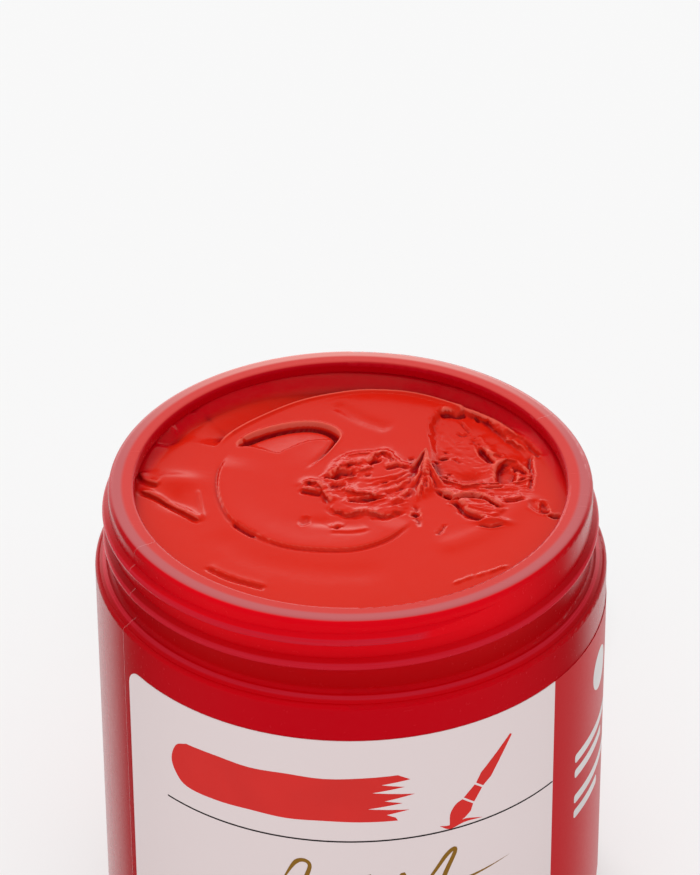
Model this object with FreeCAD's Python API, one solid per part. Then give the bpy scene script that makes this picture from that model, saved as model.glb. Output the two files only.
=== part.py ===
"""A wide-mouth screw-neck paint jar, opened, with its lid set down behind it.

Millimetres. +Z is up, and the origin is the centre of the jar's foot, on the surface that it stands on.
The front of the label faces -Y. Angles are in degrees, measured round the jar from the front and positive
towards +X, so the front is 0 and the back is 180. Heights called "depth" are measured down from the rim.
"""

import math
import os

import FreeCAD
import Part

V = FreeCAD.Vector
AXIS = V(0, 0, 1)
CENTRE = V(0, 0, 0)

# Jar: one moulding of natural polypropylene.
JAR_HEIGHT = 92.0
NECK_RADIUS = 43.2
SHOULDER_WIDTH = 2.8
RIM_WIDTH = 4.7
BODY_WALL = 1.3
BASE_WALL = 2.0
BASE_CORNER_RADIUS = 5.0
FOOT_RING_WIDTH = 3.0
FOOT_RING_SLOPE = 3.5
PUSH_UP = 2.0
NECK_HEIGHT = 15.0
NECK_WALL = 1.8
NECK_FOOT_RADIUS = 0.8
SHOULDER_DROP = 0.9
SHOULDER_RADIUS = 0.8
RIM_THICKNESS = 2.0
RIM_OUTER_RADIUS = 1.2
RIM_INNER_RADIUS = 0.8
BODY_RADIUS = NECK_RADIUS + SHOULDER_WIDTH
MOUTH_RADIUS = NECK_RADIUS - RIM_WIDTH

# The weld that the two halves of the blow mould leave across the recess under the base.
SEAM_ANGLE = -60.7
PINCH_BAR_LENGTH = 52.0
PINCH_BAR_WIDTH = 0.9
PINCH_BAR_HEIGHT = 0.5

# Screw thread of the neck.
THREAD_PITCH = 5.08
THREAD_HEIGHT = 1.17
THREAD_ROOT_WIDTH = 2.6
THREAD_CREST_WIDTH = 1.0
THREAD_TURNS = 1.6
THREAD_TOP_ANGLE = 50.0
THREAD_TOP_DEPTH = 3.1
THREAD_FADE_ANGLE = 35.0
THREAD_SINK = 0.4
CREST_ROUNDING = 0.35
THREAD_RADIUS = NECK_RADIUS + THREAD_HEIGHT

# Label: one printed film, stuck round most of the body.
LABEL_THICKNESS = 0.1
LABEL_GLUE = 0.02
LABEL_TOP_DEPTH = 23.3
LABEL_FOOT_MARGIN = 2.6
LABEL_START_ANGLE = -58.5
LABEL_BARE_GAP = 44.2
LABEL_CORNER_RADIUS = 3.5

# Paint: it fills the jar to a little below the rim.
PAINT_DEPTH = 4.4
PAINT_CLEARANCE = 0.05

# Lid: a ribbed screw cap with a foam liner.
LID_TOP = 1.6
LID_WALL = 1.5
LID_THREAD_CLEARANCE = 0.3
LID_THREAD_ROOT_WIDTH = 2.4
LID_THREAD_CREST_WIDTH = 0.9
LID_THREAD_PLAY = 0.15
LID_THREAD_TURNS = 1.25
LID_THREAD_TOP_ANGLE = -40.0
LID_SHOULDER_GAP = 1.0
LID_CORNER_RADIUS = 1.6
LID_EDGE_RADIUS = 0.4
LID_BEAD_HEIGHT = 2.0
LID_BEAD_PROUD = 0.5
LID_RIB_COUNT = 100
LID_RIB_PROUD = 0.4
LID_RIB_SHARE = 0.62
LID_PANEL_RECESS = 0.4
LID_PANEL_MARGIN = 3.0
LINER_THICKNESS = 1.5
LINER_CLEARANCE = 0.25
LID_GAP_TO_JAR = 6.0
# Its stop holds the lid this far off the table, because two wide flat bases on one body rock for ever.
LID_OFF_TABLE = 0.1

# How far a cutting solid runs on past what it cuts.
CUT_OVERLAP = 0.5


def polar(radius, angle, z):
    """The point at that radius, angle round from the front, and height."""
    turn = math.radians(angle - 90.0)
    return V(radius * math.cos(turn), radius * math.sin(turn), z)


def turned(outline):
    """The solid of revolution of an outline, a list of (radius, z) points and "arc" steps with a middle point.

    Each entry is (radius, z), or (radius, z, mid_radius, mid_z) to reach that point along an arc.
    """
    edges = []
    last = V(outline[0][0], 0, outline[0][1])
    for entry in outline[1:] + outline[:1]:
        end = V(entry[0], 0, entry[1])
        if end.distanceToPoint(last) < 1e-9:
            continue
        if len(entry) == 4:
            edges.append(Part.Arc(last, V(entry[2], 0, entry[3]), end).toShape())
        else:
            edges.append(Part.LineSegment(last, end).toShape())
        last = end
    face = Part.Face(Part.Wire(edges))
    return face.revolve(CENTRE, AXIS, 360)


def quarter(corner_r, corner_z, radius, side_r, side_z, first):
    """An arc entry that rounds a square corner.

    side_r and side_z are +1 or -1 and say on which side of the corner the material's centre of rounding lies.
    first is "r" when the outline arrives along the radius, and "z" when it arrives along the height.
    """
    centre_r = corner_r + side_r * radius
    centre_z = corner_z + side_z * radius
    near = radius * (1 - math.sqrt(0.5))
    middle = (corner_r + side_r * near, corner_z + side_z * near)
    if first == "r":
        return (corner_r, centre_z, *middle)
    return (centre_r, corner_z, *middle)


def drum(radius, low, high):
    return Part.makeCylinder(radius, high - low, V(0, 0, low))


def ridge(root_radius, crest_radius, root_width, crest_width, turns, low_angle, low_z):
    """A right-handed helical ridge on a wall of root_radius, from its lower end upwards.

    The crest is rounded, and may lie outside the root, as on a neck, or inside it, as in a lid. The flanks
    run on past the root by THREAD_SINK, into the wall.
    """
    outward = 1.0 if crest_radius > root_radius else -1.0
    slope = (root_width - crest_width) / abs(crest_radius - root_radius) / 2
    foot_radius = root_radius - outward * THREAD_SINK
    foot = root_width / 2 + slope * THREAD_SINK
    edge_radius = crest_radius - outward * CREST_ROUNDING
    edge = crest_width / 2 + slope * CREST_ROUNDING
    foot_low, foot_high = V(foot_radius, 0, -foot), V(foot_radius, 0, foot)
    edge_low, edge_high = V(edge_radius, 0, -edge), V(edge_radius, 0, edge)
    profile = Part.Wire([
        Part.LineSegment(foot_low, edge_low).toShape(),
        Part.Arc(edge_low, V(crest_radius, 0, 0), edge_high).toShape(),
        Part.LineSegment(edge_high, foot_high).toShape(),
        Part.LineSegment(foot_high, foot_low).toShape(),
    ])
    spine = Part.Wire(Part.makeHelix(THREAD_PITCH, turns * THREAD_PITCH, root_radius).Edges)
    sweep = spine.makePipeShell([profile], True, True)
    sweep.rotate(CENTRE, AXIS, low_angle - 90.0)
    sweep.translate(V(0, 0, low_z))
    return sweep


def fade(thread, root_radius, crest_radius, end_angle, low, high):
    """Cuts one end of a ridge down into the wall, with an eccentric cylinder, over THREAD_FADE_ANGLE."""
    outward = 1.0 if crest_radius > root_radius else -1.0
    end_radius = root_radius - outward * THREAD_SINK / 2
    shift = (crest_radius - end_radius) / (1 - math.cos(math.radians(THREAD_FADE_ANGLE)))
    eccentric = drum(end_radius + shift, low, high)
    eccentric.translate(polar(-shift, end_angle, 0))
    if outward > 0:
        beyond = drum(end_radius + 2 * shift, low, high)
        return thread.cut(beyond.cut(eccentric))
    return thread.cut(eccentric)


def jar_outer():
    """The jar's outer outline, from the axis under the base up to the edge of the mouth."""
    shoulder_z = JAR_HEIGHT - NECK_HEIGHT
    ring_out = BODY_RADIUS - BASE_CORNER_RADIUS
    ring_in = ring_out - FOOT_RING_WIDTH
    outline = [(0, PUSH_UP), (ring_in - FOOT_RING_SLOPE, PUSH_UP), (ring_in, 0), (ring_out, 0)]
    outline.append(quarter(BODY_RADIUS, 0, BASE_CORNER_RADIUS, -1, 1, "r"))
    outline.append((BODY_RADIUS, shoulder_z - SHOULDER_DROP - SHOULDER_RADIUS))
    outline.append(quarter(BODY_RADIUS, shoulder_z - SHOULDER_DROP, SHOULDER_RADIUS, -1, -1, "z"))
    outline.append((NECK_RADIUS + NECK_FOOT_RADIUS, shoulder_z))
    outline.append(quarter(NECK_RADIUS, shoulder_z, NECK_FOOT_RADIUS, 1, 1, "r"))
    outline.append((NECK_RADIUS, JAR_HEIGHT - RIM_OUTER_RADIUS))
    outline.append(quarter(NECK_RADIUS, JAR_HEIGHT, RIM_OUTER_RADIUS, -1, -1, "z"))
    outline.append((MOUTH_RADIUS + RIM_INNER_RADIUS, JAR_HEIGHT))
    outline.append(quarter(MOUTH_RADIUS, JAR_HEIGHT, RIM_INNER_RADIUS, 1, -1, "r"))
    return outline


def cavity(clearance, top_z):
    """The outline of the space inside the jar up to top_z, taken in by clearance all round."""
    shoulder_z = JAR_HEIGHT - NECK_HEIGHT - SHOULDER_DROP - BODY_WALL
    body_inner = BODY_RADIUS - BODY_WALL - clearance
    neck_inner = NECK_RADIUS - NECK_WALL - clearance
    floor_z = PUSH_UP + BASE_WALL + clearance
    corner = BASE_CORNER_RADIUS - BODY_WALL
    bend = min(SHOULDER_RADIUS, (body_inner - neck_inner) / 2)
    step_z = shoulder_z - clearance
    outline = [(0, floor_z), (body_inner - corner, floor_z)]
    outline.append(quarter(body_inner, floor_z, corner, -1, 1, "r"))
    outline.append((body_inner, step_z - bend))
    outline.append(quarter(body_inner, step_z, bend, -1, -1, "z"))
    outline.append((neck_inner, step_z))
    outline.append((neck_inner, top_z))
    outline.append((0, top_z))
    return outline


def pinch_bar():
    """The weld bar across the recess under the base, in line with the mould's seam."""
    bar = Part.makeBox(PINCH_BAR_LENGTH, PINCH_BAR_WIDTH, PINCH_BAR_HEIGHT + BASE_WALL / 2)
    bar.translate(V(-PINCH_BAR_LENGTH / 2, -PINCH_BAR_WIDTH / 2, PUSH_UP - PINCH_BAR_HEIGHT))
    bar.rotate(CENTRE, AXIS, SEAM_ANGLE - 90.0)
    return bar


def neck_thread():
    low_angle = THREAD_TOP_ANGLE - 360.0 * THREAD_TURNS
    low_depth = THREAD_TOP_DEPTH + THREAD_PITCH * THREAD_TURNS
    thread = ridge(NECK_RADIUS, THREAD_RADIUS, THREAD_ROOT_WIDTH, THREAD_CREST_WIDTH,
                   THREAD_TURNS, low_angle, JAR_HEIGHT - low_depth)
    for angle, depth in ((THREAD_TOP_ANGLE, THREAD_TOP_DEPTH), (low_angle, low_depth)):
        middle = JAR_HEIGHT - depth
        thread = fade(thread, NECK_RADIUS, THREAD_RADIUS, angle,
                      middle - THREAD_PITCH / 2, middle + THREAD_PITCH / 2)
    return thread


def jar_shell():
    flange_z = JAR_HEIGHT - RIM_THICKNESS
    neck_inner = NECK_RADIUS - NECK_WALL
    outline = jar_outer()
    outline.append((MOUTH_RADIUS, flange_z))
    outline.append((neck_inner, flange_z))
    inside = cavity(0.0, flange_z)
    solid = turned(outline + list(reversed_outline(inside)))
    return solid.fuse([neck_thread(), pinch_bar()]).removeSplitter()


def reversed_outline(outline):
    """The same outline walked the other way, so that an inner wall can close an outer one."""
    back = list(reversed(outline))
    for here, ahead in zip(back, [None] + back[:-1]):
        if ahead is not None and len(ahead) == 4:
            yield (here[0], here[1], ahead[2], ahead[3])
        else:
            yield (here[0], here[1])


def label_arc():
    """The angle that the label covers: all but the bare gap between its ends."""
    return 360.0 - math.degrees(LABEL_BARE_GAP / (BODY_RADIUS + LABEL_GLUE))


def label_low_z():
    return BASE_CORNER_RADIUS + LABEL_FOOT_MARGIN


def label_high_z():
    return JAR_HEIGHT - LABEL_TOP_DEPTH


def label_blank():
    """The label with square corners: a ribbon of film round the body."""
    inner = BODY_RADIUS + LABEL_GLUE
    low = label_low_z()
    high = label_high_z()
    ribbon = Part.makeCylinder(inner + LABEL_THICKNESS, high - low, V(0, 0, low), AXIS, label_arc())
    ribbon.rotate(CENTRE, AXIS, LABEL_START_ANGLE - 90.0)
    return ribbon.cut(drum(inner, low - CUT_OVERLAP, high + CUT_OVERLAP))


def corner_cutter(angle, z, along, up):
    """What is left of a square corner outside its rounding, as a block through the label there.

    along and up are +1 or -1, and point from the corner into the label.
    """
    reach = 2 * LABEL_CORNER_RADIUS
    block = Part.makeBox(LABEL_CORNER_RADIUS + CUT_OVERLAP, reach, LABEL_CORNER_RADIUS + CUT_OVERLAP)
    block.translate(V(-CUT_OVERLAP, -reach / 2, -CUT_OVERLAP))
    round_at = V(LABEL_CORNER_RADIUS, -reach, LABEL_CORNER_RADIUS)
    block = block.cut(Part.makeCylinder(LABEL_CORNER_RADIUS, 2 * reach, round_at, V(0, 1, 0)))
    if along < 0:
        block = block.mirror(CENTRE, V(1, 0, 0))
    if up < 0:
        block = block.mirror(CENTRE, AXIS)
    block.translate(V(0, -BODY_RADIUS, z))
    block.rotate(CENTRE, AXIS, angle)
    return block


def wrap_label():
    """The label with its four corners rounded."""
    label = label_blank()
    for angle, along in ((LABEL_START_ANGLE, 1), (LABEL_START_ANGLE + label_arc(), -1)):
        for z, up in ((label_low_z(), 1), (label_high_z(), -1)):
            label = label.cut(corner_cutter(angle, z, along, up))
    return label


def paint():
    return turned(cavity(PAINT_CLEARANCE, JAR_HEIGHT - PAINT_DEPTH))


def lid_inner_radius():
    return THREAD_RADIUS + LID_THREAD_CLEARANCE


def lid_height():
    return LID_TOP + LINER_THICKNESS + NECK_HEIGHT - LID_SHOULDER_GAP


def lid_ribs(low, high):
    """The ring of grip ribs between two heights, each a shallow round rib."""
    valley = lid_inner_radius() + LID_WALL
    crest = valley + LID_RIB_PROUD
    pitch = 360.0 / LID_RIB_COUNT
    edges = []
    for index in range(LID_RIB_COUNT):
        start = index * pitch
        foot = start + pitch * LID_RIB_SHARE
        top = polar(crest, (start + foot) / 2, low)
        edges.append(Part.Arc(polar(valley, start, low), top, polar(valley, foot, low)).toShape())
        edges.append(Part.LineSegment(polar(valley, foot, low), polar(valley, start + pitch, low)).toShape())
    ring = Part.Face(Part.Wire(edges)).extrude(V(0, 0, high - low))
    return ring.cut(drum(valley - LID_WALL / 2, low - CUT_OVERLAP, high + CUT_OVERLAP))


def lid_thread():
    """The lid's thread, which lies just under the neck's when the lid is screwed home.

    It is worked out with the lid closed, and the finished lid is turned over as one piece.
    """
    inner = lid_inner_radius()
    crest = NECK_RADIUS + LID_THREAD_CLEARANCE
    below_neck_thread = (THREAD_ROOT_WIDTH + LID_THREAD_CREST_WIDTH) / 2 + LID_THREAD_PLAY
    top_depth = (THREAD_TOP_DEPTH + below_neck_thread
                 + THREAD_PITCH * (THREAD_TOP_ANGLE - LID_THREAD_TOP_ANGLE) / 360.0)
    low_angle = LID_THREAD_TOP_ANGLE - 360.0 * LID_THREAD_TURNS
    low_depth = top_depth + THREAD_PITCH * LID_THREAD_TURNS
    thread = ridge(inner, crest, LID_THREAD_ROOT_WIDTH, LID_THREAD_CREST_WIDTH,
                   LID_THREAD_TURNS, low_angle, JAR_HEIGHT - low_depth)
    for angle, depth in ((LID_THREAD_TOP_ANGLE, top_depth), (low_angle, low_depth)):
        middle = JAR_HEIGHT - depth
        thread = fade(thread, inner, crest, angle, middle - THREAD_PITCH / 2, middle + THREAD_PITCH / 2)
    return thread


def closed_lid_shell():
    """The cap, screwed home on the neck: its liner is on the rim."""
    top_z = JAR_HEIGHT + LINER_THICKNESS + LID_TOP
    ceiling_z = top_z - LID_TOP
    foot_z = top_z - lid_height()
    inner = lid_inner_radius()
    outer = inner + LID_WALL
    bead = outer + LID_BEAD_PROUD
    bead_z = foot_z + LID_BEAD_HEIGHT
    panel = outer - LID_CORNER_RADIUS - LID_PANEL_MARGIN
    outline = [(0, ceiling_z), (inner, ceiling_z), (inner, foot_z)]
    outline.append((bead - LID_EDGE_RADIUS, foot_z))
    outline.append(quarter(bead, foot_z, LID_EDGE_RADIUS, -1, 1, "r"))
    outline.append((bead, bead_z - LID_EDGE_RADIUS))
    outline.append(quarter(bead, bead_z, LID_EDGE_RADIUS, -1, -1, "z"))
    outline.append((outer, bead_z))
    outline.append((outer, top_z - LID_CORNER_RADIUS))
    outline.append(quarter(outer, top_z, LID_CORNER_RADIUS, -1, -1, "z"))
    outline.append((panel, top_z))
    outline.append((panel - LID_PANEL_RECESS, top_z - LID_PANEL_RECESS))
    outline.append((0, top_z - LID_PANEL_RECESS))
    ribs = lid_ribs(bead_z - LID_EDGE_RADIUS, top_z - LID_CORNER_RADIUS)
    return turned(outline).fuse([ribs, lid_thread()]).removeSplitter()


def closed_lid_liner():
    return drum(lid_inner_radius() - LINER_CLEARANCE, JAR_HEIGHT, JAR_HEIGHT + LINER_THICKNESS)


def set_down(piece):
    """Takes a piece of the closed lid off the jar: turned over, and laid behind the jar on its top."""
    piece.rotate(CENTRE, V(1, 0, 0), 180)
    lid_reach = lid_inner_radius() + LID_WALL + LID_BEAD_PROUD
    turned_top = JAR_HEIGHT + LINER_THICKNESS + LID_TOP
    piece.translate(V(0, BODY_RADIUS + LID_GAP_TO_JAR + lid_reach, turned_top + LID_OFF_TABLE))
    return piece


PIECES = {
    "jar_shell": jar_shell,
    "wrap_label": wrap_label,
    "paint": paint,
    "lid_shell": lambda: set_down(closed_lid_shell()),
    "lid_liner": lambda: set_down(closed_lid_liner()),
}


def main():
    os.makedirs("parts", exist_ok=True)
    for name, make in PIECES.items():
        shape = make()
        shape.exportStep(os.path.join("parts", name + ".step"))
        print(name, len(shape.Solids), "solid", round(shape.Volume / 1000, 3), "cm3", shape.isValid())


main()
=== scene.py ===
# %% [markdown]
# # An open jar of red paint
# A plastic jar with a screw neck stands open and full of thick red paint. Its label wraps round the body, and
# its ribbed lid lies upside down behind it. The CAD model gives the jar, label and lid at their real size, so
# they stay as they are and only get finishes. The paint is sculpted here, stroke by stroke, because the CAD
# model only holds a level block of it.

# %% Load the frame
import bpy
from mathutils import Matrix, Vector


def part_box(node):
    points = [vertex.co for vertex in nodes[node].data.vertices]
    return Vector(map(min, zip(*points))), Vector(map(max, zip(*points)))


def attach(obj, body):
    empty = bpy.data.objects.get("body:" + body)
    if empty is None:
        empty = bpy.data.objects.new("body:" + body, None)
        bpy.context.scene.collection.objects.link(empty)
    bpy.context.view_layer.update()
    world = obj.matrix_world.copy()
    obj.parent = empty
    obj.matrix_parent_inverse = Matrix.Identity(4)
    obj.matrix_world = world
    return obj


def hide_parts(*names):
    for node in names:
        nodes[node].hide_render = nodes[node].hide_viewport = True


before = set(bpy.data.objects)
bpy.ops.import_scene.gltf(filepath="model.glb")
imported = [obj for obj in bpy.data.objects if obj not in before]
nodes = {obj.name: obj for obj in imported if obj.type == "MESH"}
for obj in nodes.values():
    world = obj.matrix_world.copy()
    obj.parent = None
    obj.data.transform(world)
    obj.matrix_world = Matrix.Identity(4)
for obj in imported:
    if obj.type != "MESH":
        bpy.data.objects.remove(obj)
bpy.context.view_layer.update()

# %% The other modules, and the unit
import math

import bmesh
import bpy
import numpy as np
from mathutils import Euler, Matrix, Vector, noise

MM = 0.001
print("CAD nodes:", sorted(nodes))

# %% [markdown]
# ## Sizes
# Everything is placed from the CAD model's own boxes, so a new jar height or width carries through. Only the
# sizes that a box can't give, such as the width of the rim, are written here, in millimetres.

# %% Sizes of the jar, its label and its paint, in millimetres
RIM_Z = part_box("jar_shell")[1].z / MM
BODY_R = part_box("jar_shell")[1].x / MM
LABEL_R = BODY_R + 0.12
LABEL_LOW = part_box("wrap_label")[0].z / MM
LABEL_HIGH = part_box("wrap_label")[1].z / MM
PAINT_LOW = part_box("paint")[0].z / MM
PAINT_BODY_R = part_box("paint")[1].x / MM
MOUTH_R = 38.5
NECK_R = 43.2
NECK_BORE_R = 41.4
THREAD_R = 44.37
RIM_SPLIT_R = 40.8
SHOULDER_DEPTH = 17.4
lid_low, lid_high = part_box("lid_shell")
LID_Y = (lid_low.y + lid_high.y) / 2 / MM
print(f"rim {RIM_Z:.1f} mm up, body radius {BODY_R:.1f} mm")
print(f"label from {LABEL_LOW:.1f} to {LABEL_HIGH:.1f} mm")

# %% [markdown]
# ## Helpers
# The sky and every finish are trees of nodes. Most of their steps are the same few: a sum, a soft change from
# one limit to another, a mix of two colours, a noise. So each of these has a short function here, which adds
# the node, joins it to the ones before it and hands back its output.

# %% Helpers for objects and node trees


def new_object(name, data):
    thing = bpy.data.objects.new(name, data)
    bpy.context.scene.collection.objects.link(thing)
    return thing


def new_material(name):
    """An empty node material, its tree and its Principled shader."""
    material = bpy.data.materials.new(name)
    material.use_nodes = True
    return material, material.node_tree, material.node_tree.nodes["Principled BSDF"]


def add_node(tree, kind, **settings):
    node = tree.nodes.new(kind)
    for name, value in settings.items():
        setattr(node, name, value)
    return node


def feed(tree, value, socket):
    """Links an output to a socket, or sets the socket to a plain value."""
    if isinstance(value, bpy.types.NodeSocket):
        tree.links.new(value, socket)
    elif isinstance(value, tuple):
        socket.default_value = (*value, 1.0)[: len(socket.default_value)]
    else:
        socket.default_value = value


def set_inputs(tree, node, **values):
    """Feeds a node's inputs, given with _ for each space in their names, and hands back its outputs."""
    for title, value in values.items():
        feed(tree, value, node.inputs[title.replace("_", " ")])
    return node.outputs


def math_node(tree, operation, *values):
    node = add_node(tree, "ShaderNodeMath", operation=operation)
    for value, socket in zip(values, node.inputs):
        feed(tree, value, socket)
    return node.outputs[0]


def times(tree, first, second):
    return math_node(tree, "MULTIPLY", first, second)


def add_up(tree, start, *weighed):
    """start, plus value times weight for each (value, weight)."""
    for value, weight in weighed:
        start = math_node(tree, "MULTIPLY_ADD", value, weight, start)
    return start


def split(tree, vector):
    """The x, y and z of a vector."""
    node = add_node(tree, "ShaderNodeSeparateXYZ")
    feed(tree, vector, node.inputs[0])
    return node.outputs


def length(tree, x, y):
    """The length of the level vector (x, y)."""
    return math_node(tree, "SQRT", add_up(tree, times(tree, x, x), (y, y)))


def spread(tree, value, low, high, to_low=0.0, to_high=1.0):
    """Maps a value from low..high to to_low..to_high, smoothly and without passing the ends."""
    node = add_node(tree, "ShaderNodeMapRange", interpolation_type="SMOOTHSTEP")
    set_inputs(tree, node, Value=value, From_Min=low, From_Max=high, To_Min=to_low, To_Max=to_high)
    return node.outputs["Result"]


def mix_colours(tree, factor, first, second):
    node = add_node(tree, "ShaderNodeMix", data_type="RGBA")
    for place_in_node, value in ((0, factor), (6, first), (7, second)):
        feed(tree, value, node.inputs[place_in_node])
    return node.outputs[2]


def noise_node(tree, vector, scale, detail=4.0, roughness=0.5, distortion=0.0):
    node = add_node(tree, "ShaderNodeTexNoise")
    set_inputs(tree, node, Vector=vector, Scale=scale, Detail=detail)
    return set_inputs(tree, node, Roughness=roughness, Distortion=distortion)["Fac"]


def object_point(tree):
    return add_node(tree, "ShaderNodeTexCoord").outputs["Object"]


def bump(tree, height, strength, distance):
    node = add_node(tree, "ShaderNodeBump")
    return set_inputs(tree, node, Height=height, Strength=strength, Distance=distance)["Normal"]


print("helpers ready")

# %% [markdown]
# ## Camera, light and floor
# The camera looks down into the mouth from the front. The jar stands on a pale floor under an even white sky,
# as on a product table in a light tent, and one large soft lamp from above and behind gives the paint its
# shape, because walls that face the front are in shade. An even sky makes wet paint look milky, though, as
# every slope mirrors some of it, and a real tent has dark gaps. Black cards would make them, but would also
# darken the floor. So the sky has two faces: plain white for the light that falls, and for gloss a dim room
# with a low white backdrop behind the jar and a soft patch above its front.

# %% Camera
CAMERA_ASIDE = -0.05
CAMERA_BACK = 668.2
CAMERA_ABOVE_RIM = 453.6
CAMERA_PITCH = 33.641
CAMERA_ROLL = 0.32
CAMERA_LENS = 186.7


def add_camera():
    data = bpy.data.cameras.new("camera")
    data.lens = CAMERA_LENS
    data.clip_start = 0.05
    camera = new_object("camera", data)
    camera.location = (CAMERA_ASIDE * MM, -CAMERA_BACK * MM, (RIM_Z + CAMERA_ABOVE_RIM) * MM)
    pitched = Euler((math.radians(90 - CAMERA_PITCH), 0.0, 0.0)).to_matrix()
    camera.rotation_euler = (pitched @ Matrix.Rotation(math.radians(-CAMERA_ROLL), 3, "Z")).to_euler()
    bpy.context.scene.camera = camera
    return camera


print("camera at", tuple(round(v, 3) for v in add_camera().location))

# %% What the gloss sees
BACKDROP_EDGES = (0.50, 0.80)
BACKDROP_LOW = (0.16, 0.47, 1.0, 0.25)
BACKDROP_TOP = (0.60, 0.85)
BACKDROP_LEFT_AT_TOP = 0.1
BACKDROP_LEVEL = 1.5
TABLE_EDGE = (-0.1, 0.0)
TABLE_LEVEL = 1.0
OVERHEAD_WAY = (0.0, -0.50, 0.87)
OVERHEAD_EDGES = (0.80, 0.95)
OVERHEAD_LEVEL = 0.25
REST_LEVEL = 0.01


def reflected_light(tree):
    """Brightness by direction: a white backdrop behind the jar, a soft patch above its front, little else."""
    way = add_node(tree, "ShaderNodeTexCoord").outputs["Generated"]
    x, y, z = split(tree, way)
    behind = spread(tree, math_node(tree, "DIVIDE", y, length(tree, x, y)), *BACKDROP_EDGES)
    low_part = spread(tree, z, *BACKDROP_LOW)
    top_part = spread(tree, z, *BACKDROP_TOP, 1.0, BACKDROP_LEFT_AT_TOP)
    strength = spread(tree, z, *TABLE_EDGE, TABLE_LEVEL, BACKDROP_LEVEL)
    backdrop = behind
    for share in (low_part, top_part, strength):
        backdrop = times(tree, backdrop, share)
    facing = add_node(tree, "ShaderNodeVectorMath", operation="DOT_PRODUCT")
    feed(tree, way, facing.inputs[0])
    facing.inputs[1].default_value = Vector(OVERHEAD_WAY).normalized()
    overhead = spread(tree, facing.outputs["Value"], *OVERHEAD_EDGES, REST_LEVEL, OVERHEAD_LEVEL)
    return math_node(tree, "ADD", backdrop, overhead)


print("gloss sees a backdrop of level", BACKDROP_LEVEL, "and a soft patch of level", OVERHEAD_LEVEL)

# %% Sky, lamp and floor
WHITE = (1.0, 1.0, 1.0)
SKY_STRENGTH = 0.82
LAMP_STRENGTH = 1.1
LAMP_ANGLE = 25
LAMP_TURN = (-35, -12, 0)
FLOOR_SIZE = 8.0
FLOOR_COLOUR = (0.42, 0.42, 0.42)
FLOOR_GLOW = 0.48


def add_sky():
    """White where light falls, and the room of the last cell where gloss looks."""
    world = bpy.data.worlds.new("white_tent")
    bpy.context.scene.world = world
    world.use_nodes = True
    world.cycles.sampling_method = "NONE"
    tree = world.node_tree
    sky = set_inputs(tree, tree.nodes["Background"], Color=WHITE, Strength=SKY_STRENGTH)[0]
    room = add_node(tree, "ShaderNodeBackground")
    room = set_inputs(tree, room, Color=WHITE, Strength=reflected_light(tree))[0]
    is_gloss = add_node(tree, "ShaderNodeLightPath").outputs["Is Glossy Ray"]
    choose = add_node(tree, "ShaderNodeMixShader")
    for value, socket in zip((is_gloss, sky, room), choose.inputs):
        feed(tree, value, socket)
    feed(tree, choose.outputs[0], tree.nodes["World Output"].inputs["Surface"])


def add_lamp():
    data = bpy.data.lights.new("soft_lamp", "SUN")
    data.energy = LAMP_STRENGTH
    data.angle = math.radians(LAMP_ANGLE)
    lamp = new_object("soft_lamp", data)
    lamp.rotation_euler = [math.radians(turn) for turn in LAMP_TURN]
    lamp.visible_glossy = False
    return lamp


def add_floor():
    """A pale floor that glows a little, so that the jar's red hardly tints it, and that gloss doesn't see."""
    mesh = bpy.data.meshes.new("floor")
    half = FLOOR_SIZE / 2
    corners = [(-half, -half, 0), (half, -half, 0), (half, half, 0), (-half, half, 0)]
    mesh.from_pydata(corners, [], [(0, 1, 2, 3)])
    material, tree, shader = new_material("pale_floor")
    set_inputs(tree, shader, Base_Color=FLOOR_COLOUR, Roughness=0.9, Specular_IOR_Level=0.0,
               Emission_Color=WHITE, Emission_Strength=FLOOR_GLOW)
    mesh.materials.append(material)
    floor = new_object("floor", mesh)
    floor.visible_glossy = False
    return floor


add_sky()
bpy.context.scene.view_settings.view_transform = "Standard"
print("lamp:", add_lamp().name)
print("floor:", add_floor().name)

# %% [markdown]
# ## Shader building blocks
# Plastic, film and paint all vary a little over their surface. What more than one of them uses is a node
# group with named sockets: where a point lies round the jar, a soft band between two limits, and a fine skin
# of grain and scuffs. Nodes copied into each material would do the same, but a group is built once, and each
# material places it with its own values.

# %% Making and placing a group


def new_group(name, inputs, outputs):
    """A shader node group with value inputs {name: default} and value outputs."""
    tree = bpy.data.node_groups.new(name, "ShaderNodeTree")
    for title, value in inputs.items():
        socket = tree.interface.new_socket(title, in_out="INPUT", socket_type="NodeSocketFloat")
        socket.default_value = value
    for title in outputs:
        tree.interface.new_socket(title, in_out="OUTPUT", socket_type="NodeSocketFloat")
    return tree, tree.nodes.new("NodeGroupInput").outputs, tree.nodes.new("NodeGroupOutput").inputs


def place(tree, group, **values):
    """Places a group in a tree with its own values."""
    node = add_node(tree, "ShaderNodeGroup", node_tree=bpy.data.node_groups[group])
    return set_inputs(tree, node, **values)


print("group tools ready")

# %% Group: where a point lies round the jar


def build_round_the_jar():
    """Angle in degrees from the front, positive to the right; radius and height in millimetres."""
    tree, _, out = new_group("Round the jar", {}, ("Angle", "Radius", "Height"))
    x, y, z = split(tree, object_point(tree))
    angle = math_node(tree, "ARCTAN2", x, times(tree, y, -1.0))
    feed(tree, math_node(tree, "DEGREES", angle), out["Angle"])
    feed(tree, math_node(tree, "DIVIDE", length(tree, x, y), MM), out["Radius"])
    feed(tree, math_node(tree, "DIVIDE", z, MM), out["Height"])


build_round_the_jar()
print("group:", bpy.data.node_groups[-1].name)

# %% Group: a soft band


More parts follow.
